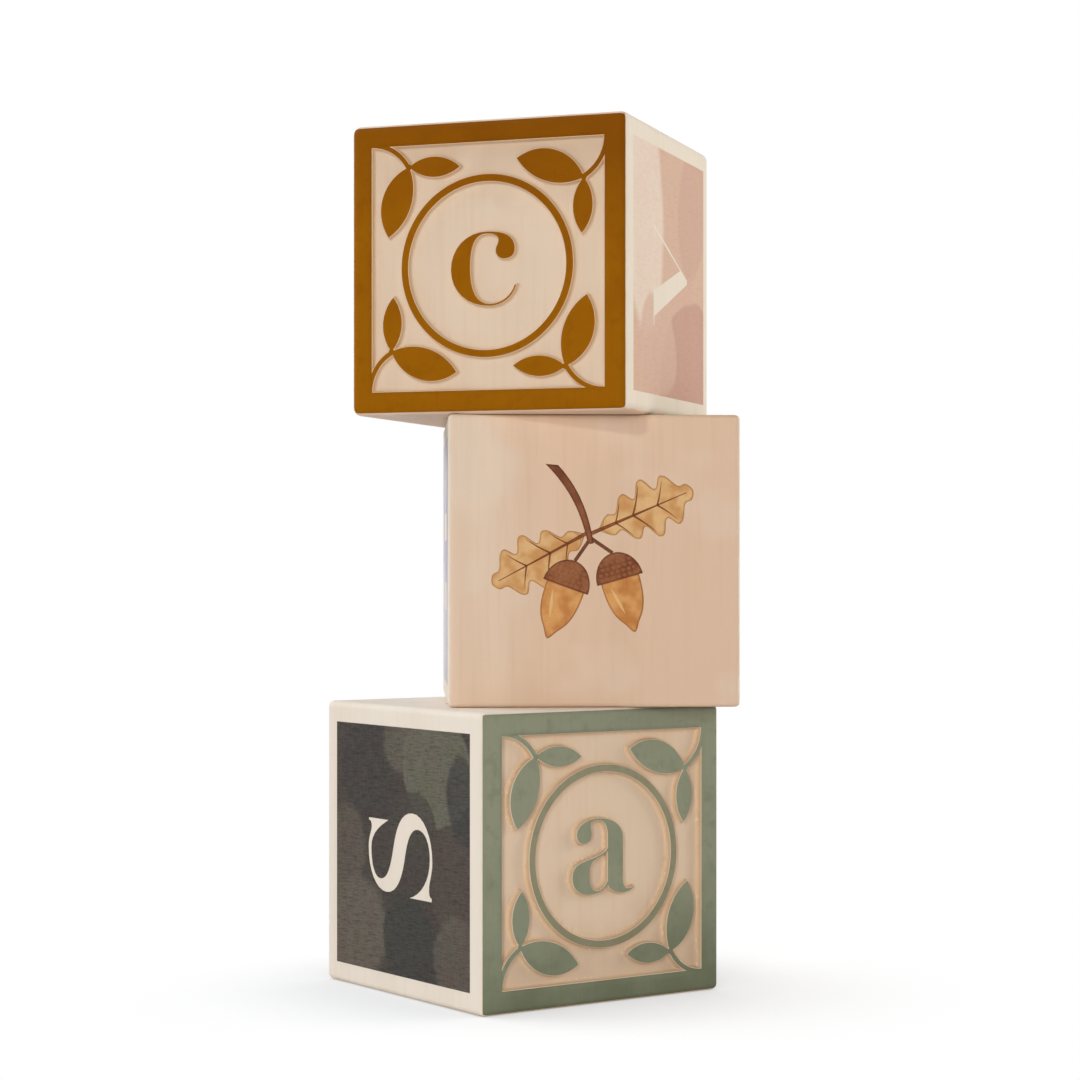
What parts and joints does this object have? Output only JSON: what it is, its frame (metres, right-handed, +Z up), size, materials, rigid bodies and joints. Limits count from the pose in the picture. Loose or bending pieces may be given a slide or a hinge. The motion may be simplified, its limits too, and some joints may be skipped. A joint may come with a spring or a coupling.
{
  "type": "stacked alphabet blocks",
  "caption": "Stack of solid wooden alphabet blocks with carved and inked letter faces, printed letter panels and picture faces.",
  "frame": {"origin": "centre of the bottom block's base, on the surface that the stack stands on", "axes": "+Z up through the stack, +X to the right and +Y away from someone who sees the stack as it was pictured"},
  "size_m": [0.0641, 0.0613, 0.1333],
  "materials": {
    "basswood": "bare sanded basswood, fine straight grain, matt",
    "mustard_ink": "mustard ink rolled on raised wood, grain showing, matt",
    "sage_ink": "sage green ink rolled on raised wood, grain showing, matt",
    "clay_ink": "clay ink rolled on raised wood, grain showing, matt",
    "charcoal_print": "charcoal print with soft overlapping shapes, grain showing, matt",
    "rose_print": "dusty rose print with soft overlapping shapes, grain showing, matt",
    "lilac_print": "pale lilac print, grain showing, matt",
    "stone_print": "stone grey print, grain showing, matt",
    "picture_print": "watercolour style picture in honey and brown printed on bare wood, matt"
  },
  "bodies": {
    "bottom_block": {"bottom_block_wood": "basswood", "bottom_front_border": "sage_ink", "bottom_front_ring": "sage_ink", "bottom_front_sprigs": "sage_ink", "bottom_front_letter": "sage_ink", "bottom_back_border": "clay_ink", "bottom_back_ring": "clay_ink", "bottom_back_sprigs": "clay_ink", "bottom_back_letter": "clay_ink", "bottom_left_panel": "charcoal_print", "bottom_right_panel": "rose_print", "bottom_top_picture": "picture_print", "bottom_under_picture": "picture_print"},
    "middle_block": {"middle_block_wood": "basswood", "middle_top_border": "sage_ink", "middle_top_ring": "sage_ink", "middle_top_sprigs": "sage_ink", "middle_top_letter": "sage_ink", "middle_under_border": "mustard_ink", "middle_under_ring": "mustard_ink", "middle_under_sprigs": "mustard_ink", "middle_under_letter": "mustard_ink", "middle_left_panel": "lilac_print", "middle_right_panel": "charcoal_print", "middle_front_picture": "picture_print", "middle_back_picture": "picture_print"},
    "top_block": {"top_block_wood": "basswood", "top_front_border": "mustard_ink", "top_front_ring": "mustard_ink", "top_front_sprigs": "mustard_ink", "top_front_letter": "mustard_ink", "top_back_border": "sage_ink", "top_back_ring": "sage_ink", "top_back_sprigs": "sage_ink", "top_back_letter": "sage_ink", "top_left_panel": "stone_print", "top_right_panel": "rose_print", "top_top_picture": "picture_print", "top_under_picture": "picture_print"}
  },
  "joints": [
    {"name": "middle_block_lift", "type": "slide", "parent": "bottom_block", "child": "middle_block", "axis": [0, 0, 1], "range_m": [0, 0.06]},
    {"name": "top_block_lift", "type": "slide", "parent": "middle_block", "child": "top_block", "axis": [0, 0, 1], "range_m": [0, 0.06]}
  ]
}
